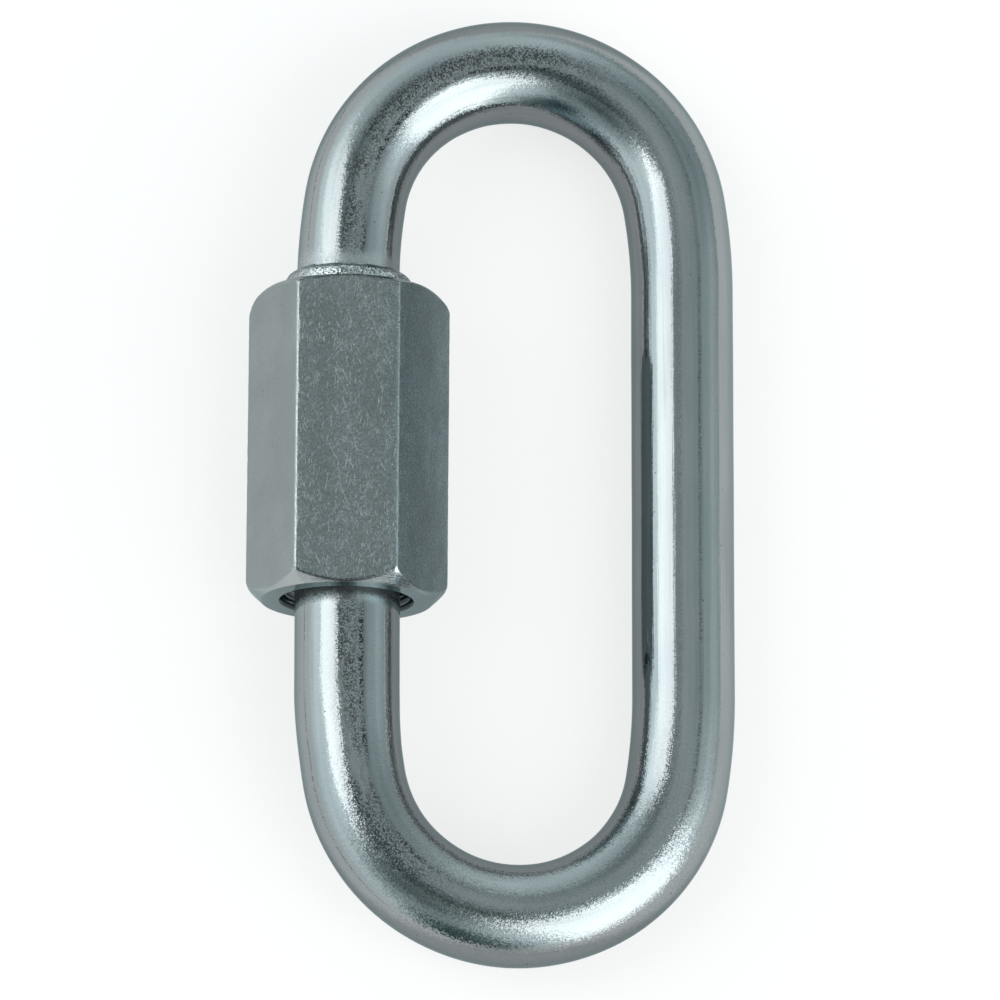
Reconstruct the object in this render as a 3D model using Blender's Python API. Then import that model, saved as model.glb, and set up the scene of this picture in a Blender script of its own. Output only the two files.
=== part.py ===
"""A chain quick link: one round bar bent into a long oval, its two ends upset for a thread, and a long hexagon nut
that screws over both ends to close the mouth.

It lies as it comes to rest, on one flat of the nut and on the plain arm beside it, so the bar leans a little about
the nut's axis. Metres, +Z up, the oval's long side along Y, and the origin below the middle of the whole link."""

from cmath import exp
from math import asin, ceil, cos, pi, radians, sin, tan

import bmesh
import bpy
import numpy as np
from mathutils import Matrix, Vector

# The bent bar
ROD_RADIUS = 0.0040
CROWN_RADIUS = 0.01275  # of the centre line round each end of the oval
SHOULDER_RADIUS = 0.0450  # of the centre line where an arm starts to lean in
SHOULDER_TURN = radians(9.03)
ARM_STRAIGHT = 0.0322

# Its two ends, which meet inside the nut
THREAD_STEP = 0.000625  # how far the upset ends stand above the bar, at half the depth of the thread
UPPER_TIP_Y = 0.0109  # above the middle of the oval
MOUTH_WIDTH = 0.0085  # between the two tips
LOWER_THREAD_LENGTH = 0.0096
UPSET_TAPER = 0.0008  # along the bar, where the lower end goes down to its full size
UPSET_SWELL = 0.0001  # how much the bar beside the lower thread is thickened by the upsetting
SWELL_LENGTH = 0.0100
SWELL_TAPER = 0.0040
TIP_CHAMFER = 0.0006
COLLAR_STEP = 0.000275  # how far the collar that stops the nut stands above the thread
COLLAR_LENGTH = 0.00154
COLLAR_ROUND = 0.00070  # along the bar, where the back of the collar rounds down to it

# The nut
NUT_LENGTH = 0.0246
NUT_WALL = 0.00213  # between the bore and a flat
NUT_EDGE_RADIUS = 0.00035
NUT_CHAMFER_START = 0.00018  # how far inside the flats the round end face ends
NUT_CHAMFER_ANGLE = radians(42)
NUT_CORNER_ROUND = 0.0009  # where a chamfer meets the long edges
NUT_CORNER_TURN = radians(80)  # how far round that goes, from square to the nut's axis
COUNTERSINK = 0.000555  # deep and wide, at both ends of the bore
UPPER_GRIP = 0.00447  # how far the closed nut reaches over the upper tip

# Clearances
THREAD_GAP = 0.00008  # between the threaded ends and the bore, all round
SEAT_GAP = 0.0003  # along the bar, between the collar and the countersink

# How finely curves are divided
BAR_SIDES = 40
BORE_SIDES = 48
CHAMFER_SIDES = 72
EDGE_STEPS = 3
ROUND_STEPS = 6
CORNER_STEPS = 4
CROWN_STEP = radians(4.6)
SHOULDER_STEP = radians(2.4)
OVERLAP = 0.001  # how far cutters reach past the surface that they cut

THREAD_RADIUS = ROD_RADIUS + THREAD_STEP
COLLAR_RADIUS = THREAD_RADIUS + COLLAR_STEP
BORE_RADIUS = THREAD_RADIUS + THREAD_GAP
NUT_APOTHEM = BORE_RADIUS + NUT_WALL
NUT_CORNER = NUT_APOTHEM / cos(pi / 6)
ARM_SPACING = 2 * (SHOULDER_RADIUS - (SHOULDER_RADIUS - CROWN_RADIUS) * cos(SHOULDER_TURN))
LEAN = asin((NUT_APOTHEM - ROD_RADIUS) / ARM_SPACING)
NUT_TOP_Y = UPPER_TIP_Y + UPPER_GRIP
LOWER_TIP_Y = UPPER_TIP_Y - MOUTH_WIDTH

ZINC = {"link_body": (0.50, 0.53, 0.55, 0.30), "sleeve_nut": (0.42, 0.45, 0.47, 0.36)}


def clear_scene():
    for obj in list(bpy.data.objects):
        bpy.data.objects.remove(obj, do_unlink=True)


def zinc(name):
    """A satin zinc plating: red, green, blue and roughness from ZINC."""
    *colour, roughness = ZINC[name]
    material = bpy.data.materials.new(name + "_zinc")
    material.use_nodes = True
    shader = material.node_tree.nodes["Principled BSDF"]
    shader.inputs["Base Color"].default_value = (*colour, 1)
    shader.inputs["Metallic"].default_value = 1
    shader.inputs["Roughness"].default_value = roughness
    return material


def add_empty(name, location, rotation=(0, 0, 0)):
    empty = bpy.data.objects.new(name, None)
    empty.location, empty.rotation_euler = location, rotation
    empty.empty_display_size = ROD_RADIUS
    bpy.context.collection.objects.link(empty)
    return empty


def add_mesh(name, bm, parent, material=None):
    bmesh.ops.recalc_face_normals(bm, faces=bm.faces)
    mesh = bpy.data.meshes.new(name)
    bm.to_mesh(mesh)
    bm.free()
    mesh.shade_smooth()
    mesh.set_sharp_from_angle(angle=radians(30))
    obj = bpy.data.objects.new(name, mesh)
    obj.parent = parent
    bpy.context.collection.objects.link(obj)
    if material:
        mesh.materials.append(material)
    return obj


def bar_stretches():
    """(length, turn) of each stretch of the centre line, from the upper tip clockwise round the oval to the lower tip."""
    shoulder = (SHOULDER_RADIUS * SHOULDER_TURN, SHOULDER_TURN)
    crown_turn = pi - 2 * SHOULDER_TURN
    crown = (CROWN_RADIUS * crown_turn, crown_turn)
    bend = [shoulder, crown, shoulder]
    return [
        (ARM_STRAIGHT / 2 - UPPER_TIP_Y, 0),
        *bend,
        (ARM_STRAIGHT, 0),
        *bend,
        (ARM_STRAIGHT / 2 + LOWER_TIP_Y, 0),
    ]


def bar_outline(total):
    """(distance along the bar, radius) where the radius starts or stops to change. The collar's seat is a cone that
    lies in the nut's countersink, which is as wide as it is deep."""
    collar_front = UPPER_GRIP - (BORE_RADIUS + COUNTERSINK - COLLAR_RADIUS) + SEAT_GAP
    collar_back = collar_front + COLLAR_LENGTH
    rounded_back = [
        (collar_back + COLLAR_ROUND * sin(turn), ROD_RADIUS + (COLLAR_RADIUS - ROD_RADIUS) * cos(turn))
        for turn in np.linspace(0, pi / 2, ROUND_STEPS + 1)
    ]
    upper = [
        (0, THREAD_RADIUS - TIP_CHAMFER),
        (TIP_CHAMFER, THREAD_RADIUS),
        (collar_front - COLLAR_STEP, THREAD_RADIUS),
        (collar_front, COLLAR_RADIUS),
        *rounded_back,
    ]
    lower = [
        (total - LOWER_THREAD_LENGTH - SWELL_LENGTH - SWELL_TAPER, ROD_RADIUS),
        (total - LOWER_THREAD_LENGTH - SWELL_LENGTH, ROD_RADIUS + UPSET_SWELL),
        (total - LOWER_THREAD_LENGTH - UPSET_TAPER, ROD_RADIUS + UPSET_SWELL),
        (total - LOWER_THREAD_LENGTH, THREAD_RADIUS),
        (total - TIP_CHAMFER, THREAD_RADIUS),
        (total, THREAD_RADIUS - TIP_CHAMFER),
    ]
    return upper + lower


def bar_rings():
    """The place, heading and radius of each ring of the bar. The plane of the oval is read as complex numbers."""
    stretches = bar_stretches()
    outline = bar_outline(sum(length for length, _ in stretches))
    rings = []
    start, place, heading = 0, UPPER_TIP_Y * 1j, 1j
    for length, turn in stretches:
        # A crown turns by far more than a shoulder does, and tighter, so each has its own step.
        steps = max(1, 2 * ceil(turn / (CROWN_STEP if turn > SHOULDER_TURN else SHOULDER_STEP) / 2))
        marks = {*np.linspace(0, length, steps + 1), *(at - start for at, _ in outline if 0 < at - start < length)}
        for at in sorted(marks)[bool(rings) :]:
            bend = turn / length
            step = (1 - exp(-1j * bend * at)) / (1j * bend) if turn else at
            radius = np.interp(start + at, *zip(*outline))
            rings.append((place + heading * step, heading * exp(-1j * bend * at), radius))
        start += length
        place, heading = rings[-1][:2]
    return rings


def bent_bar():
    """Lofts the bar through its rings and caps both tips."""
    bm = bmesh.new()
    loops = []
    for place, heading, radius in bar_rings():
        along = Vector((heading.real, heading.imag, 0))
        across = Vector((heading.imag, -heading.real, 0))
        frame = Matrix((across, (0, 0, 1), along)).transposed().to_4x4()
        frame.translation = (place.real, place.imag, 0)
        circle = bmesh.ops.create_circle(bm, segments=BAR_SIDES, radius=radius, matrix=frame)
        loops.append(circle["verts"])
    for near, far in zip(loops, loops[1:]):
        for i in range(BAR_SIDES):
            bm.faces.new((near[i - 1], near[i], far[i], far[i - 1]))
    for tip in (loops[0], loops[-1]):
        bm.faces.new(tip)
    return bm


def turned(profile, sides):
    """Spins (distance along Y, radius) points about the Y axis."""
    bm = bmesh.new()
    points = [bm.verts.new((radius, y, 0)) for y, radius in profile]
    edges = [bm.edges.new(pair) for pair in zip(points, points[1:])]
    bmesh.ops.spin(
        bm, geom=points + edges, cent=(0, 0, 0), axis=(0, 1, 0), angle=2 * pi, steps=sides, use_merge=True
    )
    bmesh.ops.remove_doubles(bm, verts=bm.verts, dist=1e-7)
    return bm


def nut_half_width():
    """From the nut's axis to a rounded long edge."""
    return NUT_CORNER - NUT_EDGE_RADIUS * (1 / cos(pi / 6) - 1)


def hexagon_bar(length):
    """A hexagon bar along Y with a flat on top, its long edges rounded."""
    bm = bmesh.new()
    upright = Matrix.Rotation(pi / 2, 4, "X") @ Matrix.Rotation(pi / 6, 4, "Z")
    frame = Matrix.Translation((0, -length / 2, 0)) @ upright
    bmesh.ops.create_circle(bm, cap_ends=True, segments=6, radius=NUT_CORNER, matrix=frame)
    drawn = bmesh.ops.extrude_face_region(bm, geom=list(bm.faces))
    bmesh.ops.translate(bm, vec=(0, length, 0), verts=[v for v in drawn["geom"] if isinstance(v, bmesh.types.BMVert)])
    ridges = [e for e in bm.edges if abs(e.verts[0].co.y - e.verts[1].co.y) > length / 2]
    bmesh.ops.bevel(
        bm,
        geom=ridges,
        offset=NUT_EDGE_RADIUS * tan(pi / 6),
        offset_type="OFFSET",
        segments=EDGE_STEPS,
        profile=0.5,
        affect="EDGES",
    )
    return bm


def chamfer_blank():
    """The turned outside of the nut: flat end faces, and chamfers that round into the long edges and run out past
    them."""
    end, face = NUT_LENGTH / 2, NUT_APOTHEM - NUT_CHAMFER_START
    arc = [
        (NUT_CORNER_ROUND * cos(turn), nut_half_width() - NUT_CORNER_ROUND * (1 - sin(turn)))
        for turn in np.linspace(NUT_CHAMFER_ANGLE, NUT_CORNER_TURN, CORNER_STEPS + 1)
    ]
    # The arc starts on the cone of the chamfer and leaves along its own last slope.
    shift = end - (arc[0][1] - face) * tan(NUT_CHAMFER_ANGLE) - arc[0][0]
    arc = [(y + shift, radius) for y, radius in arc]
    outer = NUT_CORNER + OVERLAP
    rim = arc[-1][0] - (outer - arc[-1][1]) * tan(NUT_CORNER_TURN)
    half = [(rim, outer), *arc[::-1], (end, face), (end, 0)]
    return turned([(-y, radius) for y, radius in half[::-1]] + half, CHAMFER_SIDES)


def bore_cutter():
    end = NUT_LENGTH / 2
    flat, mouth = end - COUNTERSINK, BORE_RADIUS + COUNTERSINK + OVERLAP
    past = end + OVERLAP
    return turned(
        [(-past, 0), (-past, mouth), (-flat, BORE_RADIUS), (flat, BORE_RADIUS), (past, mouth), (past, 0)], BORE_SIDES
    )


def cut(obj, tool, operation):
    tool.hide_render = True
    tool.display_type = "WIRE"
    modifier = obj.modifiers.new(tool.name, "BOOLEAN")
    modifier.operation, modifier.object, modifier.solver = operation, tool, "EXACT"


def build():
    clear_scene()
    nut_x = (nut_half_width() - ROD_RADIUS - ARM_SPACING * cos(LEAN)) / 2
    link = add_empty("quick_link", (0, 0, 0))
    oval = add_empty("oval", (nut_x, 0, NUT_APOTHEM), (0, LEAN, 0))
    thread_axis = add_empty("thread_axis", (nut_x, NUT_TOP_Y - NUT_LENGTH / 2, NUT_APOTHEM))
    oval.parent = thread_axis.parent = link

    add_mesh("link_body", bent_bar(), oval, zinc("link_body"))
    nut = add_mesh("sleeve_nut", hexagon_bar(NUT_LENGTH + 2 * OVERLAP), thread_axis, zinc("sleeve_nut"))
    cut(nut, add_mesh("chamfer_blank", chamfer_blank(), thread_axis), "INTERSECT")
    cut(nut, add_mesh("bore_cutter", bore_cutter(), thread_axis), "DIFFERENCE")


build()
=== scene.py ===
"""The looks of the chain quick link: the bent bar and the hexagon nut with their threads and worn plating,
and a studio like the photograph's. All lengths are in metres."""

from math import asin, cos, pi, radians, sin, tan

import bpy
import numpy as np
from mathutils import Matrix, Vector, noise


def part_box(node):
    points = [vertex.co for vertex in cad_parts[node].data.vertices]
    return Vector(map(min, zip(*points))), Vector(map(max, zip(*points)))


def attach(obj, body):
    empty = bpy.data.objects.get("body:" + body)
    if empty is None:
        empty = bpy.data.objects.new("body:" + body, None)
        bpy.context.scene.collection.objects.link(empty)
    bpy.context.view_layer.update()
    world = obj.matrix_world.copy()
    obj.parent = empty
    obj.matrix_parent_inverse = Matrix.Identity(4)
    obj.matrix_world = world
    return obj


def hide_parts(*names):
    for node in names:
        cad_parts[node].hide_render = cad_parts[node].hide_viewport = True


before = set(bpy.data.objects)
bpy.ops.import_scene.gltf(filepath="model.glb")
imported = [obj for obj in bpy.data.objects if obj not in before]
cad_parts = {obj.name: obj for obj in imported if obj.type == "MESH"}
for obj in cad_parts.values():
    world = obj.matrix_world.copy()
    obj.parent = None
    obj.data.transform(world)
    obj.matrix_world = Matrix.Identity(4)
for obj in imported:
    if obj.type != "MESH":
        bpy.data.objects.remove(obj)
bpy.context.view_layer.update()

# The bar, as in the solids
ROD = 0.0040
CROWN = 0.01275
SHOULDER = 0.0450
SHOULDER_TURN = radians(9.03)
ARM = 0.0322
UPPER_TIP = 0.0109
LOWER_TIP = 0.0024
LOWER_THREAD = 0.0096
TAPER = 0.0010
SWELL = 0.00010  # the bar is a little thicker beside the lower thread
SWELL_LENGTH = 0.0100
SWELL_TAPER = 0.0040
COLLAR = 0.0049
COLLAR_FRONT = 0.00441  # from the upper tip
COLLAR_BACK = COLLAR_FRONT + 0.00100  # where it starts to round down to the bar
COLLAR_END = COLLAR_FRONT + 0.00178  # at the dies' parting line, left and right
COLLAR_SQUEEZE = 0.00019  # how much sooner it ends where the dies pressed it, front and back
SPACING = 2 * (SHOULDER - (SHOULDER - CROWN) * cos(SHOULDER_TURN))  # between the two arms' middles
TIP_CHAMFER = 0.0003
WAVES = 0.000022  # depth of the bent bar's unevenness
LUMPS = 0.000045  # and of the collar's

# The thread, right-handed, with one crest facing +Z at the upper tip
PITCH = 0.0010
THREAD_ANGLE_RISE = 1 / tan(radians(30))
MALE = (0.004635, 0.00438, 0.00494)  # pitch radius, root, crest
FEMALE = (0.004715, 0.00446, 0.00502)

# The nut
NUT_LOW, NUT_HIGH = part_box("sleeve_nut")
NUT_X = (NUT_LOW.x + NUT_HIGH.x) / 2
NUT_Z = (NUT_LOW.z + NUT_HIGH.z) / 2
NUT_Y = (NUT_LOW.y + NUT_HIGH.y) / 2
NUT_HALF = (NUT_HIGH.y - NUT_LOW.y) / 2
APOTHEM = (NUT_HIGH.z - NUT_LOW.z) / 2
EDGE = 0.00035
CORNER = APOTHEM / cos(pi / 6) - EDGE * (1 / cos(pi / 6) - 1)
HALF_FLAT = (APOTHEM - EDGE) * tan(pi / 6)  # from a flat's middle to where its corners start
END_FACE = APOTHEM - 0.00018
# For the upper and the lower end, the chamfer's slope in degrees and its rounding at each corner, from the
# corner that faces the plain arm
CHAMFERS = {
    1: ((42, 27, 27, 42, 42, 42), (0.0009, 0.0003, 0.0003, 0.0023, 0.0009, 0.0009)),
    -1: ((42, 40, 38, 42, 42, 42), (0.0010, 0.0006, 0.0006, 0.0012, 0.0009, 0.0009)),
}
OUT_OF_SQUARE = 0.008  # rise of both ends for each metre across
COUNTERSINK = 0.000555
ASKEW = radians(-0.4)  # how the nut hangs in the play of its thread
ASIDE = 0.00003  # and how far it lies towards the plain arm
BORE = 0.004705
MOUTH_DEPTH = 0.0011  # how far in the countersink ends
RING_PITCH = 0.00048  # of the cutter's rings in the countersink
RING_DEPTH = 0.00005
RIM_ROUND = 0.00008  # rounding of the turned rims
SIDE_ROUND = 0.00009  # and of the chamfers' edge to the sides
NICKS, DENTS = 0.000018, 0.00002  # depth of small and large marks on the long edges
HOLLOWS = 0.000006  # depth of the flats' unevenness
LEAN = asin((APOTHEM - ROD) / SPACING)


def smooth(t):
    """A smooth step from 0 at 0 to 1 at 1."""
    t = np.clip(t, 0, 1)
    return t * t * (3 - 2 * t)


def bump_field(points, scale, seed, octaves=3):
    """Fractal noise at each point, about -1 to 1, with features of about 1 / scale metres."""
    shift = Vector((seed * 17.3, seed * 5.1, seed * 9.7))
    return np.array([noise.fractal(Vector(p) * scale + shift, 1, 2, octaves) for p in points])


def thread(along, angle, gauge):
    """The radius of a 60 degree thread, where along is measured along Y."""
    pitch_radius, root, crest = gauge
    phase = along / PITCH + angle / (2 * pi)
    from_crest = np.abs((phase + 0.5) % 1 - 0.5)
    return np.clip(pitch_radius + THREAD_ANGLE_RISE * PITCH * (0.25 - from_crest), root, crest)


def grid_mesh(name, rings, tips=False):
    """A mesh through rings of points, capped at both tips or closed end to end."""
    rows, sides = rings.shape[:2]
    index = np.arange(rows * sides).reshape(rows, sides)
    a = index[:-1] if tips else index
    b = np.roll(index, -1, axis=0)[: len(a)]
    faces = np.stack([a, np.roll(a, -1, axis=1), np.roll(b, -1, axis=1), b], -1).reshape(-1, 4).tolist()
    if tips:
        faces += [index[0][::-1].tolist(), index[-1].tolist()]
    mesh = bpy.data.meshes.new(name)
    mesh.from_pydata(rings.reshape(-1, 3).tolist(), [], faces)
    mesh.validate()
    mesh.shade_smooth()
    mesh.set_sharp_from_angle(angle=radians(35))
    obj = bpy.data.objects.new(name, mesh)
    bpy.context.collection.objects.link(obj)
    return obj


def store(obj, name, values):
    """Keeps a number or a vector at each point, for the materials to read."""
    kind, key = ("FLOAT", "value") if values.ndim == 1 else ("FLOAT_VECTOR", "vector")
    attribute = obj.data.attributes.new(name, kind, "POINT")
    attribute.data.foreach_set(key, values.astype(np.float32).ravel())


def bar_line():
    """Each ring's distance along the bar, place and heading in the oval's plane and bend, and the length."""
    crown_turn = pi - 2 * SHOULDER_TURN
    shoulder, crown = (SHOULDER * SHOULDER_TURN, SHOULDER_TURN), (CROWN * crown_turn, crown_turn)
    bend = [shoulder, crown, shoulder]
    stretches = [(ARM / 2 - UPPER_TIP, 0), *bend, (ARM, 0), *bend, (ARM / 2 + LOWER_TIP, 0)]
    total = sum(length for length, _ in stretches)
    fine, coarse = PITCH / 12, 0.00034  # from ring to ring, on the worked ends and elsewhere
    upper, lower = COLLAR_END + 0.0004, total - LOWER_THREAD - TAPER - 0.0003
    marks = np.concatenate(
        [
            np.linspace(0, upper, round(upper / fine)),
            np.linspace(upper, lower, round((lower - upper) / coarse))[1:-1],
            np.linspace(lower, total, round((total - lower) / fine)),
        ]
    )
    places, headings, bends = [], [], []
    start, place, heading = 0, UPPER_TIP * 1j, 1j
    for k, (length, turn) in enumerate(stretches):
        last = k == len(stretches) - 1
        at = marks[(marks >= start) & ((marks < start + length) | last)] - start
        for s in [*at, length]:
            curl = turn / length
            step = (1 - np.exp(-1j * curl * s)) / (1j * curl) if turn else s
            places.append(place + heading * step)
            headings.append(heading * np.exp(-1j * curl * s))
            bends.append(curl * CROWN)
        start, place, heading = start + length, places[-1], headings[-1]
        places, headings, bends = places[:-1], headings[:-1], bends[:-1]
    window = 25
    bends = np.convolve(np.pad(bends, window // 2, mode="edge"), np.ones(window) / window, "valid")
    return marks, np.array(places), np.array(headings), bends, total


def link_bar():
    """The bar with its threads, its collar and its small unevenness."""
    sides = 120
    marks, places, headings, bends, total = bar_line()
    angle = np.arange(sides) * 2 * pi / sides
    s, a = marks[:, None], angle[None, :]
    from_end = total - s
    from_cut = np.minimum(s, from_end)
    y = np.where(s < total / 2, UPPER_TIP + s, LOWER_TIP - from_end)

    male = thread(y, a - LEAN, MALE)
    upset = np.clip((LOWER_THREAD + SWELL_LENGTH + SWELL_TAPER - from_end) / SWELL_TAPER, 0, 1)
    swollen = ROD + SWELL * upset
    radius = np.broadcast_to(swollen, (len(marks), sides))
    # The upper end: thread, collar and its rounded back
    seat = COLLAR - (COLLAR_FRONT - s)
    collar_end = COLLAR_END - COLLAR_SQUEEZE * np.sin(a) ** 2
    back = np.clip((s - COLLAR_BACK) / (collar_end - COLLAR_BACK), 0, 1)
    rounded_back = ROD + (COLLAR - ROD) * (1 - back**2) ** 0.8
    upper = np.where(s < COLLAR_FRONT, np.maximum(male, np.minimum(seat, COLLAR)), rounded_back)
    radius = np.where(s < collar_end, upper, radius)
    # The lower end: thread that runs out on the bar
    runout = smooth((from_end - LOWER_THREAD) / TAPER)
    lower = male * (1 - runout) + swollen * runout
    radius = np.where(from_end < LOWER_THREAD + TAPER, lower, radius)
    chamfer = MALE[1] - TIP_CHAMFER + from_cut
    radius = np.minimum(radius, chamfer)

    across = np.stack([headings.imag, -headings.real], -1)[:, None, :]
    place = np.stack([places.real, places.imag], -1)[:, None, :]
    unit = np.broadcast_to(np.stack([np.cos(angle), np.sin(angle)], -1), (len(marks), sides, 2))
    straight = np.concatenate([unit * ROD, np.broadcast_to(s[..., None], (len(marks), sides, 1))], -1)
    flat = straight.reshape(-1, 3)

    # Small unevenness of a drawn bar that was bent cold, and of a rough collar
    bent = np.broadcast_to(bends[:, None], radius.shape)
    wave = bump_field(flat, 160, 1, 2).reshape(radius.shape)
    radius = radius + WAVES * wave * (0.35 + 0.65 * bent)
    on_collar = smooth((s - COLLAR_FRONT) / 0.0003) * smooth((collar_end + 0.0001 - s) / 0.0002)
    lumps = bump_field(flat * (1, 1, 1.6), 1300, 2, 3).reshape(radius.shape)
    radius = radius + on_collar * LUMPS * lumps

    # The oval leans about the axis of the nut
    x, along = np.moveaxis(place + across * (radius * unit[..., 0])[..., None], -1, 0)
    z = radius * unit[..., 1]
    leaning_x = x * cos(LEAN) + z * sin(LEAN) + NUT_X
    leaning_z = z * cos(LEAN) - x * sin(LEAN) + NUT_Z
    obj = grid_mesh("link_bar", np.stack([leaning_x, along, leaning_z], -1), tips=True)

    # The dies gripped the bar beside the collar and beside the lower thread
    past_collar, past_thread = s - collar_end, from_end - LOWER_THREAD
    grip = np.maximum(
        smooth(past_collar / 0.0001) * smooth((0.0015 - past_collar) / 0.0009),
        smooth((past_thread - 0.0004) / 0.0004) * smooth((0.0036 - past_thread) / 0.0020),
    )
    fields = {
        "bent": bent * np.where(s < total / 2, 0.55, 1.0),  # the lower crown is grainier than the upper one
        "grip": grip,
        "upset": upset,
        "near_ends": smooth((0.042 - from_cut) / 0.012),
        "collar": on_collar,
        "plain": smooth(past_collar / 0.0003) * smooth((past_thread - TAPER) / 0.0003) * (1 - grip),
    }
    for name, values in fields.items():
        store(obj, name, np.broadcast_to(values, radius.shape).ravel())
    store(obj, "straight", flat)
    return obj


def hexagon():
    """The angles and radii of the nut's outline, with one flat facing +Z and its corners rounded."""
    points = []
    centre = (APOTHEM - EDGE) / cos(pi / 6)
    arc = np.linspace(-pi / 6, pi / 6, 9)
    run = np.linspace(-HALF_FLAT, HALF_FLAT, 25)[1:-1]
    for k in range(6):
        corner = k * pi / 3
        middle = centre * np.exp(1j * corner)
        points += [middle + EDGE * np.exp(1j * (corner + t)) for t in arc]
        normal = np.exp(1j * (corner + pi / 6))
        points += [normal * (APOTHEM + 1j * t) for t in run]
    points = np.array(points)
    order = np.argsort(np.angle(points) % (2 * pi))
    return np.angle(points[order]) % (2 * pi), np.abs(points[order])


# Each flat's wear and blueness, anticlockwise seen from the lower end, first the one that faces up and
# towards the plain arm
FLATS = ((0.60, 1.00), (1.0, 0.0), (0.15, 0.0), (0.5, 0.3), (0.8, 0.1), (0.4, 0.5))


def per_flat(angles, values):
    """One value for each flat, blended across the corners."""
    middles = [60 * k + 30 + side for k in range(6) for side in (-29, 29)]
    return np.interp(np.degrees(angles), middles, np.repeat(values, 2), period=360)


def chamfer_height(radius, angle, end):
    """How far from the nut's middle its end is at each radius: a cone that rounds into the corners."""
    corners = range(0, 360, 60)
    slopes, rounds = (np.interp(np.degrees(angle), corners, each, period=360) for each in CHAMFERS[end])
    slope = np.radians(slopes)
    arc_radius = CORNER - rounds
    arc_start = arc_radius + rounds * np.sin(slope)
    cone = NUT_HALF - (radius - END_FACE) * np.tan(slope)
    arc_middle = NUT_HALF - (arc_start - END_FACE) * np.tan(slope) - rounds * np.cos(slope)
    arc = arc_middle + np.sqrt(np.clip(rounds**2 - (radius - arc_radius) ** 2, 0, None))
    return np.where(radius < arc_start, cone, arc)


def soft_corner(before, here, after, radius, steps):
    """Points of an arc that rounds the corner at here, between its two neighbours."""
    u, v = before - here, after - here
    lu, lv = np.linalg.norm(u), np.linalg.norm(v)
    u, v = u / lu, v / lv
    half = np.arccos(np.clip(u @ v, -1, 1)) / 2
    reach = min(radius / tan(half), 0.45 * lu, 0.45 * lv)
    radius = reach * tan(half)
    middle = here + (u + v) / np.linalg.norm(u + v) * (radius / sin(half))
    start, end = here + u * reach - middle, here + v * reach - middle
    arms = [start * (1 - t) + end * t for t in np.linspace(0, 1, steps + 1)]
    return [middle + arm * (radius / np.linalg.norm(arm)) for arm in arms]


def turned_end(angle, reach, end):
    """(radius, y) points from the bore's mouth over the nut's end face and chamfer to its side."""
    mouth = np.array((BORE + COUNTERSINK, NUT_HALF))
    face_rim = np.array((END_FACE, NUT_HALF))
    turned = np.linspace(END_FACE, reach, 13)
    turned = np.stack([turned, chamfer_height(turned, angle, end)], -1)
    points = soft_corner(mouth - (COUNTERSINK, MOUTH_DEPTH), mouth, face_rim, RIM_ROUND, 3)
    points += list(np.linspace(points[-1], face_rim, 6)[1:-1])
    points += soft_corner(mouth, face_rim, turned[1], RIM_ROUND, 3)
    points += list(turned[2:-1])
    points += soft_corner(turned[-2], turned[-1], turned[-1] * (1, 0), SIDE_ROUND, 4)
    return np.array(points) * (1, end)


def nut_profile(angle, reach):
    """(radius, y) points round the nut's wall at one angle: top end, side, bottom end and bore."""
    top, foot = turned_end(angle, reach, 1), turned_end(angle, reach, -1)
    sides = np.linspace(top[-1], foot[-1], 130)[1:-1]
    # The bore is cut as thread or countersink, whichever lies farther out
    y = np.linspace(-NUT_HALF, NUT_HALF, round(2 * NUT_HALF / PITCH * 13) + 1)[1:-1]
    depth = NUT_HALF - np.abs(y)
    cone = BORE + COUNTERSINK * (1 - depth / MOUTH_DEPTH) + RING_DEPTH * np.cos(2 * pi * depth / RING_PITCH)
    bore = np.stack([np.maximum(thread(y + NUT_Y, angle, FEMALE), cone), y], -1)
    bore = bore[np.abs(y) < NUT_HALF - RIM_ROUND]
    return np.concatenate([top, sides, foot[::-1], bore])


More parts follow.
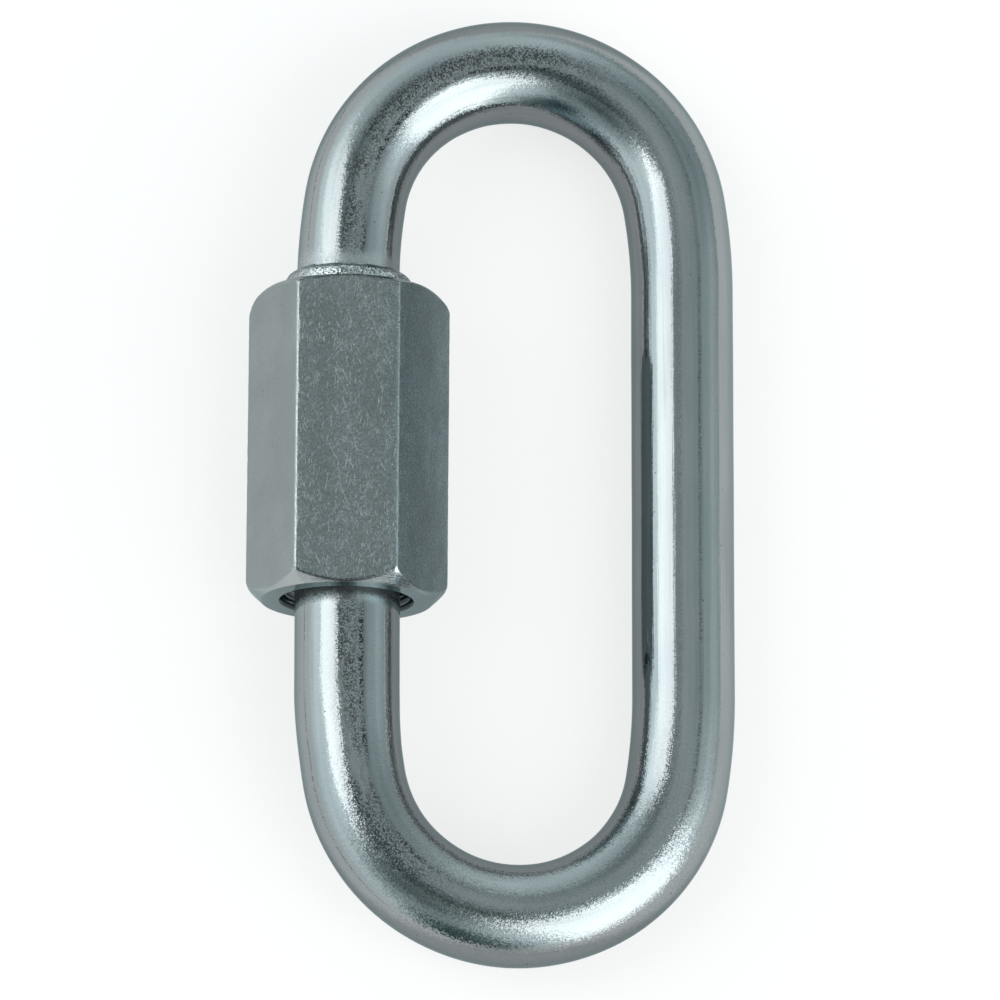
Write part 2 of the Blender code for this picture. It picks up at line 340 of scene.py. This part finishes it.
def hex_nut():
    """The nut with its thread, its chamfers and its small unevenness."""
    angles, radii = hexagon()
    rho, y = np.array([nut_profile(*pair) for pair in zip(angles, radii)]).T
    points = np.stack([rho * np.cos(angles), y, rho * np.sin(angles)], -1)

    # Dents along the long edges and the rims, and flats that are not quite flat
    flat = points.reshape(-1, 3)
    shape = rho.shape
    out = np.stack([np.cos(angles), 0 * angles, np.sin(angles)], -1)
    edge = smooth((radii - np.hypot(APOTHEM, HALF_FLAT)) / 0.00003) * (rho > APOTHEM - 0.0002)
    nicks = bump_field(flat * (0.5, 1, 0.5), 1500, 5, 3).reshape(shape)
    deep = bump_field(flat * (0.4, 1, 0.4), 420, 6, 2).reshape(shape)
    hollow = bump_field(flat, 260, 7, 2).reshape(shape)
    dent = edge * (NICKS * np.clip(nicks, -1, 0.3) - DENTS * np.clip(deep - 0.25, 0, 1))
    dent = dent + (rho > APOTHEM - 0.0001) * HOLLOWS * hollow
    points = points + out * dent[..., None]
    points[..., 1] -= points[..., 0] * OUT_OF_SQUARE
    turn = np.array(((cos(ASKEW), -sin(ASKEW), 0), (sin(ASKEW), cos(ASKEW), 0), (0, 0, 1)))
    obj = grid_mesh("hex_nut", points[::-1] @ turn.T + (NUT_X + ASIDE, NUT_Y, NUT_Z))

    ends = [chamfer_height(rho, np.broadcast_to(angles, shape), end) for end in (1, -1)]
    chamfer = (np.abs(y) > np.where(y > 0, *ends) - 0.00003) & (rho > END_FACE - 0.0001)
    # The roots of the thread in the bore and the cutter's rings in its mouths, which get painted shade
    inside = rho < BORE + COUNTERSINK - 0.00002
    depth = NUT_HALF - np.abs(y)
    ring = smooth(1.1 - 1.6 * np.abs((depth / RING_PITCH) % 1 - 0.4)) * (depth < MOUTH_DEPTH)
    root = smooth((rho - FEMALE[0] + 0.00005) / 0.0002) * (depth >= MOUTH_DEPTH)
    wear, blue = (per_flat(angles, values) for values in zip(*FLATS))
    fields = {
        "edge": edge * (0.5 + 0.5 * np.clip(nicks * 2, -1, 1)),
        "seam": smooth((rho - radii + 0.00020) / 0.00008) * chamfer,
        "bore": inside * np.maximum(ring, root),
        "turned": chamfer | (np.abs(y) > NUT_HALF - 0.00002),
        "wear": wear,
        "blue": blue,
    }
    for name, values in fields.items():
        store(obj, name, np.broadcast_to(values, shape)[::-1].ravel())
    lathe = np.stack([rho, np.broadcast_to(angles * APOTHEM, shape), y], -1)
    store(obj, "lathe", lathe[::-1].reshape(-1, 3))
    return obj


class Nodes:
    """Short ways to add and link the nodes of a material or a world."""

    def __init__(self, owner):
        self.owner = owner
        owner.use_nodes = True
        self.tree = owner.node_tree
        self.tree.nodes.clear()

    def add(self, kind, values=None, **settings):
        node = self.tree.nodes.new("ShaderNode" + kind)
        for key, value in settings.items():
            setattr(node, key, value)
        for key, value in (values or {}).items():
            socket = node.inputs[key]
            if isinstance(value, bpy.types.NodeSocket):
                self.tree.links.new(value, socket)
            else:
                socket.default_value = value
        return node

    def math(self, operation, *values):
        return self.add("Math", dict(enumerate(values)), operation=operation).outputs[0]

    def total(self, values):
        out = values[0]
        for value in values[1:]:
            out = self.math("ADD", out, value)
        return out

    def weighed(self, start, values, weights):
        """The start plus each value times its weight."""
        return self.total([start, *(self.math("MULTIPLY", *pair) for pair in zip(values, weights))])

    def vector(self, operation, *values):
        return self.add("VectorMath", dict(enumerate(values)), operation=operation).outputs["Vector"]

    def dot(self, vector, axis):
        return self.add("VectorMath", {0: vector, 1: axis}, operation="DOT_PRODUCT").outputs["Value"]

    def stretched(self, vector, scale, turn=0.0):
        """The vector scaled by a triple, after a turn about Z."""
        if turn:
            vector = self.add("Mapping", {"Vector": vector, "Rotation": (0, 0, turn)}).outputs[0]
        return self.add("Mapping", {"Vector": vector, "Scale": scale}).outputs[0]

    def noise(self, vector, scale, detail=2, rough=0.5, distortion=0.0):
        values = dict(Vector=vector, Scale=scale, Detail=detail, Roughness=rough, Distortion=distortion)
        return self.add("TexNoise", values).outputs["Fac"]

    def ramp(self, value, low, high, to_low=0.0, to_high=1.0):
        """A smooth step from to_low at low up, or down, to to_high at high."""
        values = {"Value": value, "From Min": low, "From Max": high, "To Min": to_low, "To Max": to_high}
        return self.add("MapRange", values, interpolation_type="SMOOTHSTEP").outputs[0]

    def attribute(self, name, output="Fac"):
        return self.add("Attribute", attribute_name=name).outputs[output]

    def mix(self, factor, a, b):
        return self.add("Mix", {0: factor, 6: a, 7: b}, data_type="RGBA").outputs[2]

    def tinted(self, level, tint):
        """The tint's colour times a level."""
        return self.add("VectorMath", {0: tint, "Scale": level}, operation="SCALE").outputs[0]

    def bump(self, height, distance, normal=None):
        values = {"Height": height, "Distance": distance, "Strength": 1.0}
        if normal:
            values["Normal"] = normal
        return self.add("Bump", values).outputs[0]

    def spots(self, place, scale, size):
        """1 in round spots at random places, and 0 elsewhere."""
        strewn = self.add("TexVoronoi", {"Vector": place, "Scale": scale})
        return self.math("LESS_THAN", strewn.outputs["Distance"], size)

    def cells(self, place, scale):
        """A random vector, 0 to 1 on each axis, in each small cell."""
        return self.add("TexVoronoi", {"Vector": place, "Scale": scale}).outputs["Color"]

    def facets(self, cells, amount, normal):
        """The normal tipped another way in each cell."""
        tip = self.tinted(amount, self.vector("SUBTRACT", cells, (0.5, 0.5, 0.5)))
        return self.vector("NORMALIZE", self.vector("ADD", normal, tip))

    def finish(self, colour, roughness, normal):
        values = {"Base Color": colour, "Roughness": roughness, "Normal": normal, "Metallic": 1.0}
        values["Specular Tint"] = RIM_TINT
        shader = self.add("BsdfPrincipled", values)
        self.add("OutputMaterial", {"Surface": shader.outputs[0]})
        return self.owner


# The plating's colours on the bar, on the nut and on both
BAR_LIGHT = (0.335, 0.355, 0.361, 1)
BAR_BLUE = (0.300, 0.325, 0.336, 1)
BAR_DULL = (0.235, 0.254, 0.260, 1)
NUT_LIGHT = (0.325, 0.353, 0.357, 1)
NUT_BLUE = (0.375, 0.472, 0.500, 1)
NUT_DULL = (0.240, 0.260, 0.263, 1)
NUT_DARK = (0.178, 0.194, 0.198, 1)
# Next: pits, and also the painted shade in the nut's bore and the painted dark reflections along the bar
PIT_AND_SHADE = (0.050, 0.056, 0.058, 1)
# Next: rubbed metal, and also the painted light on the bar's gripped bands beside the nut
RUBBED_AND_PAINTED_LIGHT = (0.620, 0.650, 0.655, 1)
RIM_TINT = (0.545, 0.63, 0.64, 1)  # of the light that the plating mirrors at a glancing angle

CELLS = 10500  # cells of the bar's grain to the metre
# What each kind of worked place adds to the grain and to the facets: bent, upset, gripped, collar
WORKED_GRAIN = (0.9, 0.2, 0.4, 2.0)
WORKED_FACETS = (0.10, 0.02, 0.07, 0.42)
WOBBLE = 0.00012  # how far the bands wander to each side
# Painted reflection: speckled dark bands where the bar mirrors dark surroundings: angle round it in degrees
# from the oval's inner side towards the top, half width, and strength near the cut ends and elsewhere
DARK_REFLECTION_BANDS = (
    (80, 0.00034, 1.0, 0.20),
    (95, 0.00125, 0.85, 0.0),
    (103, 0.00022, 0.0, 0.50),
    (45, 0.00012, 0.50, 0.35),
    (149, 0.00012, 0.55, 0.10),
)


def bar_zinc():
    """Bright plating on drawn bar: fine lines along the arms, grain where it was bent or gripped, painted
    dark reflections in bands along it, and painted light on the gripped bands.
    """
    n = Nodes(bpy.data.materials.new("bright_zinc_bar"))
    place = n.attribute("straight", "Vector")
    worked = [n.attribute(name) for name in ("bent", "upset", "grip", "collar")]
    bent, _, grip, collar = worked
    grain = n.noise(place, 9200, 1, 0.5)
    cells = n.cells(place, CELLS)
    speck = n.dot(cells, (1, 0, 0))
    streak = n.noise(n.stretched(place, (1, 1, 0.03)), 3400, 3)
    cloud = n.ramp(n.noise(n.stretched(place, (1, 1, 0.3)), 300, 3), 0.38, 0.68)
    colour = n.mix(cloud, BAR_LIGHT, BAR_BLUE)
    colour = n.mix(n.ramp(streak, 0.5, 0.75, 0, 0.35), colour, BAR_DULL)
    dull = n.math("MULTIPLY", n.ramp(speck, 0.45, 0.95), n.math("MULTIPLY_ADD", bent, 0.34, 0.05))
    colour = n.mix(dull, colour, BAR_DULL)

    spots = n.spots(place, 1100, n.math("MULTIPLY", grain, 0.13))
    pit = n.math("MULTIPLY", spots, n.ramp(n.noise(place, 800, 0), 0.56, 0.60))
    wobble = n.noise(n.stretched(place, (1, 1, 0.15)), 3000, 3)
    wobble = n.math("MULTIPLY_ADD", wobble, 2 * WOBBLE, -WOBBLE)
    patchy = n.ramp(n.noise(n.stretched(place, (1, 1, 0.3)), 900, 2), 0.25, 0.55)
    broken = n.math("MULTIPLY", n.ramp(speck, 0.38, 0.58), patchy)
    near_ends = n.attribute("near_ends")
    # Painted reflection: dark speckled bands where the bar mirrors dark parts of its surroundings
    painted_dark_reflection = 0.0
    for degrees, width, at_ends, elsewhere in DARK_REFLECTION_BANDS:
        a = radians(degrees)
        off = n.math("ABSOLUTE", n.math("ADD", n.dot(place, (-sin(a), cos(a), 0)), wobble))
        band = n.math("MULTIPLY", n.ramp(off, 0.25 * width, width, 1, 0), broken)
        band = n.math("MULTIPLY", band, n.math("GREATER_THAN", n.dot(place, (cos(a), sin(a), 0)), 0))
        band = n.math("MULTIPLY", band, n.ramp(near_ends, 0, 1, elsewhere, at_ends))
        painted_dark_reflection = n.math("MAXIMUM", band, painted_dark_reflection)
    painted_dark_reflection = n.math("MULTIPLY", painted_dark_reflection, n.attribute("plain"))
    beaten = n.math("MULTIPLY", n.ramp(speck, 0.50, 0.90), n.math("MULTIPLY", collar, 0.75))
    # Rubbed metal on the collar; on the gripped bands beside the nut's ends, partly rubbed metal and partly
    # painted light that lifts the nut's shade
    rubbed_and_painted_light = n.math("MAXIMUM", n.math("MULTIPLY", collar, 0.8), n.math("MULTIPLY", grip, 0.35))
    rubbed_and_painted_light = n.math("MULTIPLY", rubbed_and_painted_light, n.ramp(n.dot(cells, (0, 1, 0)), 0.1, 0.8))
    colour = n.mix(rubbed_and_painted_light, colour, RUBBED_AND_PAINTED_LIGHT)
    dark = n.math("MAXIMUM", n.math("MULTIPLY", pit, 0.8), n.math("MAXIMUM", painted_dark_reflection, beaten))
    colour = n.mix(dark, colour, PIT_AND_SHADE)

    rough = n.ramp(streak, 0.35, 0.7, 0.05, 0.10)
    rough = n.total([rough, n.math("MULTIPLY", bent, 0.02), n.math("MULTIPLY", grip, 0.26)])
    coarse = n.weighed(0.12, worked, WORKED_GRAIN)
    normal = n.bump(n.math("MULTIPLY", grain, coarse), 0.000010)
    lines = n.noise(n.stretched(place, (1, 1, 0.02)), 6500, 2)
    normal = n.bump(lines, 0.000006, normal)
    gripped = n.math("MULTIPLY", n.noise(n.stretched(place, (1, 1, 0.15)), 9000, 2), grip)
    normal = n.bump(gripped, 0.000008, normal)
    normal = n.bump(n.math("MULTIPLY", pit, -1.0), 0.00003, normal)
    normal = n.facets(cells, n.weighed(0.022, worked, WORKED_FACETS), normal)
    return n.finish(colour, rough, normal)


# Hairline scratches of the nut: degrees from its axis, fineness, and how much of a flat they cover
SCRATCHES = ((6, 9000, 0.42), (-25, 8000, 0.38), (34, 8000, 0.38), (72, 7500, 0.32))


def nut_zinc():
    """Duller plating on cut hexagon bar, with scratches from handling that are worse on some flats."""
    n = Nodes(bpy.data.materials.new("handled_zinc_nut"))
    place = n.add("TexCoord").outputs["Object"]
    names = ("edge", "turned", "wear", "bore", "seam")
    edge, turned, wear, bore, seam = (n.attribute(name) for name in names)
    grain = n.noise(place, 8300, 2, 0.6)
    mottle = n.noise(n.stretched(place, (1, 0.5, 1)), 800, 5, 0.72)
    fleck = n.noise(n.stretched(place, (1, 0.4, 1), radians(14)), 8000, 1, 0.5)
    hairs = []
    for turn, fineness, cover in SCRATCHES:
        hair = n.noise(n.stretched(place, (1, 0.07, 1), radians(turn)), fineness, 1, 0.4, 0.3)
        where = n.ramp(n.noise(place, fineness / 9, 1), 0.62 - cover / 2, 0.74 - cover / 2)
        hairs.append(n.math("MULTIPLY", n.ramp(hair, 0.64, 0.72), where))
    hair = n.math("MULTIPLY", n.math("MINIMUM", n.total(hairs), 1.0), wear)
    worn = n.math("MULTIPLY", n.ramp(mottle, 0.34, 0.66), wear)

    colour = n.mix(n.ramp(n.noise(place, 220, 3), 0.35, 0.65, 0, 0.35), NUT_LIGHT, NUT_DULL)
    colour = n.mix(n.attribute("blue"), colour, NUT_BLUE)
    colour = n.mix(n.math("MULTIPLY", worn, 0.60), colour, NUT_DULL)
    smear = n.ramp(n.noise(n.stretched(place, (1, 0.35, 1)), 330, 3), 0.36, 0.66, 0, 0.45)
    colour = n.mix(n.math("MULTIPLY", smear, wear), colour, NUT_DARK)
    grit = n.math("MULTIPLY", n.ramp(grain, 0.44, 0.60), n.math("MULTIPLY_ADD", wear, 0.75, 0.08))
    colour = n.mix(grit, colour, NUT_DARK)
    bright = n.math("MULTIPLY", n.ramp(fleck, 0.59, 0.72), wear)
    bright = n.math("MAXIMUM", n.math("MULTIPLY", bright, 0.42), n.math("MULTIPLY", hair, 0.20))
    colour = n.mix(bright, colour, RUBBED_AND_PAINTED_LIGHT)
    colour = n.mix(n.math("MULTIPLY", n.math("MAXIMUM", edge, turned), 0.22), colour, RUBBED_AND_PAINTED_LIGHT)
    spots = n.spots(place, 1000, n.math("MULTIPLY", grain, 0.16))
    pit = n.math("MULTIPLY", spots, n.ramp(n.noise(place, 400, 0), 0.54, 0.58))
    # A dark broken line along the seams of the most worn flats with their chamfers
    seam_line = n.math("MULTIPLY", seam, n.ramp(wear, 0.75, 1.0))
    seam_line = n.math("MULTIPLY", seam_line, n.ramp(grain, 0.36, 0.50, 0.3, 0.9))
    # Painted shade, near black, in the bore's thread roots and the rings of its mouths
    seam_line_and_bore_shade = n.math("MAXIMUM", seam_line, n.math("MULTIPLY", bore, 0.9))
    dark = n.math("MAXIMUM", n.math("MULTIPLY", pit, 0.6), seam_line_and_bore_shade)
    colour = n.mix(dark, colour, PIT_AND_SHADE)

    rough = n.math("MULTIPLY_ADD", worn, 0.10, 0.20)
    rough = n.math("SUBTRACT", rough, n.math("MULTIPLY", n.total([edge, turned, bore]), 0.09))
    depth = n.math("MULTIPLY_ADD", wear, 1.5, 0.25)
    normal = n.bump(n.math("MULTIPLY", grain, depth), 0.000005)
    normal = n.bump(n.math("MULTIPLY", mottle, wear), 0.000008, normal)
    normal = n.bump(n.math("MULTIPLY", n.math("MAXIMUM", hair, pit), -1.0), 0.000005, normal)
    rings = n.noise(n.stretched(n.attribute("lathe", "Vector"), (1, 0.02, 1)), 6000, 2)
    normal = n.bump(n.math("MULTIPLY", rings, turned), 0.000008, normal)
    return n.finish(colour, rough, normal)


FLOOR_HALF = 4
FLOOR_COLOUR = (0.28, 0.275, 0.27, 1)
FLOOR_GLOW = 0.71
# Painted shade: the floor's glow, as mirrors see it, is lowered under the link
FLOOR_MIRRORED_SHADE = (0.014, 0.024, 0.55)  # half width of the dim part, where it ends, and its share of the glow


def floor_material():
    """A pale floor that keeps the link's shadow and glows about white for the camera and in mirrors, with
    painted shade under the link in mirrors.
    """
    n = Nodes(bpy.data.materials.new("pale_floor"))
    path = n.add("LightPath")
    seen = n.math("MAXIMUM", path.outputs["Is Camera Ray"], path.outputs["Is Glossy Ray"])
    seen = n.math("MAXIMUM", seen, path.outputs["Is Transmission Ray"])
    # Painted shade: in mirrors the floor's glow is dimmer under the link, where the link would keep the
    # light off it
    aside = n.math("ABSOLUTE", n.dot(n.add("TexCoord").outputs["Object"], (1, 0, 0)))
    painted_shade_scale = n.math("MAXIMUM", path.outputs["Is Camera Ray"], n.ramp(aside, *FLOOR_MIRRORED_SHADE))
    seen = n.math("MULTIPLY", seen, painted_shade_scale)
    diffuse = n.add("BsdfDiffuse", {"Color": FLOOR_COLOUR})
    glow = n.add("Emission", {"Color": (1, 1, 1, 1), "Strength": n.math("MULTIPLY", seen, FLOOR_GLOW)})
    both = n.add("AddShader", {0: diffuse.outputs[0], 1: glow.outputs[0]})
    n.add("OutputMaterial", {"Surface": both.outputs[0]})
    return n.owner


ROOM_TINT = (0.90, 1.03, 1.045)
PATCH_TINT = (0.92, 1.01, 1.02)
LEAST_LEVEL = 0.02
# The plating's share of the light, by which the levels below were read from the photograph
ZINC_LEVEL = 0.280
# The room's level at some zenith angles in degrees
ROOM = ((0, 0.33), (15, 0.19), (30, 0.20), (50, 0.38), (70, 0.425), (90, 0.295))
# Soft darker and brighter patches of the room: azimuth from +X towards +Y, zenith angle, radius, level
PATCHES = (
    (41, 82, 69, -0.17),
    (237, 51, 49, -0.225),
    (260, 80, 39, -0.30),
    (116, 50, 54, -0.15),
    (33, 50, 50, -0.125),
    (331, 31, 18, 0.25),
    (265, 7, 28, -0.18),
    (346, 61, 18, 0.11),
    (187, 42, 22, 0.11),
    (148, 78, 32, 0.07),
    (88, 76, 28, -0.06),
    (28, 30, 20, 0.05),
)
# Soft boxes: azimuth, zenith angle and roll, then half width, half height and the softness of sides, top and
# foot as tangents, and the level
BOXES = (
    (160, 41, -30, 0.24, 0.37, 0.08, 0.05, 1.20, 0.51),
    (318, 62, -1, 0.44, 0.69, 0.14, 0.14, 0.80, 0.47),
)
# A narrow dark gap, read as a box that takes light away
GAP = (24, 39, 0, 0.45, 0.03, 0.50, 0.06, 0.06, -0.05)


def toward(azimuth, zenith):
    """The direction to a place in the room, from its angles in degrees."""
    a, z = radians(azimuth), radians(zenith)
    return Vector((cos(a) * sin(z), sin(a) * sin(z), cos(z)))


def studio():
    """A grey room with one soft box to the left and a larger one in front to the right."""
    world = bpy.context.scene.world or bpy.data.worlds.new("studio")
    bpy.context.scene.world = world
    n = Nodes(world)
    direction = n.add("TexCoord").outputs["Generated"]

    def patch(azimuth, zenith, radius, level):
        angle = n.math("ARCCOSINE", n.dot(direction, toward(azimuth, zenith)))
        return n.ramp(angle, radians(radius * 0.2), radians(radius * 0.8), level, 0)

    def soft_box(azimuth, zenith, roll, width, height, soft_side, soft_top, soft_foot, level):
        """A rectangle that faces the link, its half sizes and the softness of its edges as tangents."""
        middle, roll = toward(azimuth, zenith), radians(roll)
        side = Vector((-sin(radians(azimuth)), cos(radians(azimuth)), 0))
        rise = middle.cross(side)
        side, rise = side * cos(roll) + rise * sin(roll), rise * cos(roll) - side * sin(roll)
        facing = n.dot(direction, middle)
        x = n.math("ABSOLUTE", n.math("DIVIDE", n.dot(direction, side), facing))
        y = n.math("DIVIDE", n.dot(direction, rise), facing)
        inside = n.ramp(x, width - soft_side / 2, width + soft_side / 2, 1, 0)
        below_top = n.ramp(y, height - soft_top / 2, height + soft_top / 2, 1, 0)
        above_foot = n.ramp(y, -height - soft_foot / 2, -height + soft_foot / 2)
        shape = n.math("MULTIPLY", inside, n.math("MULTIPLY", below_top, above_foot))
        return n.math("MULTIPLY", n.math("MULTIPLY", shape, n.math("GREATER_THAN", facing, 0.05)), level)

    zenith = n.math("ARCCOSINE", n.add("SeparateXYZ", {0: direction}).outputs["Z"])
    walls = n.add("ValToRGB", {0: n.math("DIVIDE", zenith, pi / 2)})
    stops = walls.color_ramp.elements
    stops.remove(stops[1])
    for angle, level in ROOM:
        stop = stops.new(angle / 90) if angle else stops[0]
        stop.color = (level, level, level, 1)
    patches = n.total([*(patch(*values) for values in PATCHES), soft_box(*GAP)])
    room = n.vector("ADD", n.tinted(walls.outputs[0], ROOM_TINT), n.tinted(patches, PATCH_TINT))
    room = n.vector("MAXIMUM", room, (LEAST_LEVEL,) * 3)
    boxes = n.total([soft_box(*values) for values in BOXES])
    background = n.add("Background", {"Color": n.vector("ADD", room, boxes), "Strength": 1 / ZINC_LEVEL})
    n.add("OutputWorld", {"Surface": background.outputs[0]})


def floor():
    """One square on which the link lies."""
    corners = [(x * FLOOR_HALF, y * FLOOR_HALF, 0) for x, y in ((-1, -1), (1, -1), (1, 1), (-1, 1))]
    mesh = bpy.data.meshes.new("floor")
    mesh.from_pydata(corners, [], [(0, 1, 2, 3)])
    mesh.materials.append(floor_material())
    obj = bpy.data.objects.new("floor", mesh)
    bpy.context.collection.objects.link(obj)


ELEVATION = radians(76)
DISTANCE = 0.890
PICTURE_WIDTH = 1000
PIXEL = 0.001 / 12.82  # its size at the link's middle
OFF_CENTRE = (15.4, 9.1)  # pixels by which the link's middle lies to the right of the picture's and above it


def camera():
    """Looks down from the front, at a point a little beside the link's middle."""
    data = bpy.data.cameras.new("camera")
    data.sensor_width = 36
    data.lens = data.sensor_width * DISTANCE / (PICTURE_WIDTH * PIXEL)
    obj = bpy.data.objects.new("camera", data)
    back = Vector((0, -cos(ELEVATION), sin(ELEVATION)))
    up = Vector((0, sin(ELEVATION), cos(ELEVATION)))
    middle = Vector((NUT_X + SPACING / 2 * cos(LEAN), 0, NUT_Z - SPACING / 2 * sin(LEAN)))
    right, above = OFF_CENTRE
    aim = middle - Vector((1, 0, 0)) * right * PIXEL - up * above * PIXEL
    obj.location = aim + back * DISTANCE
    obj.rotation_mode = "QUATERNION"
    obj.rotation_quaternion = back.to_track_quat("Z", "Y")
    data.clip_start, data.clip_end = 0.01, 20
    bpy.context.collection.objects.link(obj)
    bpy.context.scene.camera = obj


bar = link_bar()
bar.data.materials.append(bar_zinc())
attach(bar, "link")
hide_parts("link_body")

nut = hex_nut()
nut.data.materials.append(nut_zinc())
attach(nut, "nut")
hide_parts("sleeve_nut")

floor()
studio()
camera()
bpy.context.scene.view_settings.view_transform = "Standard"
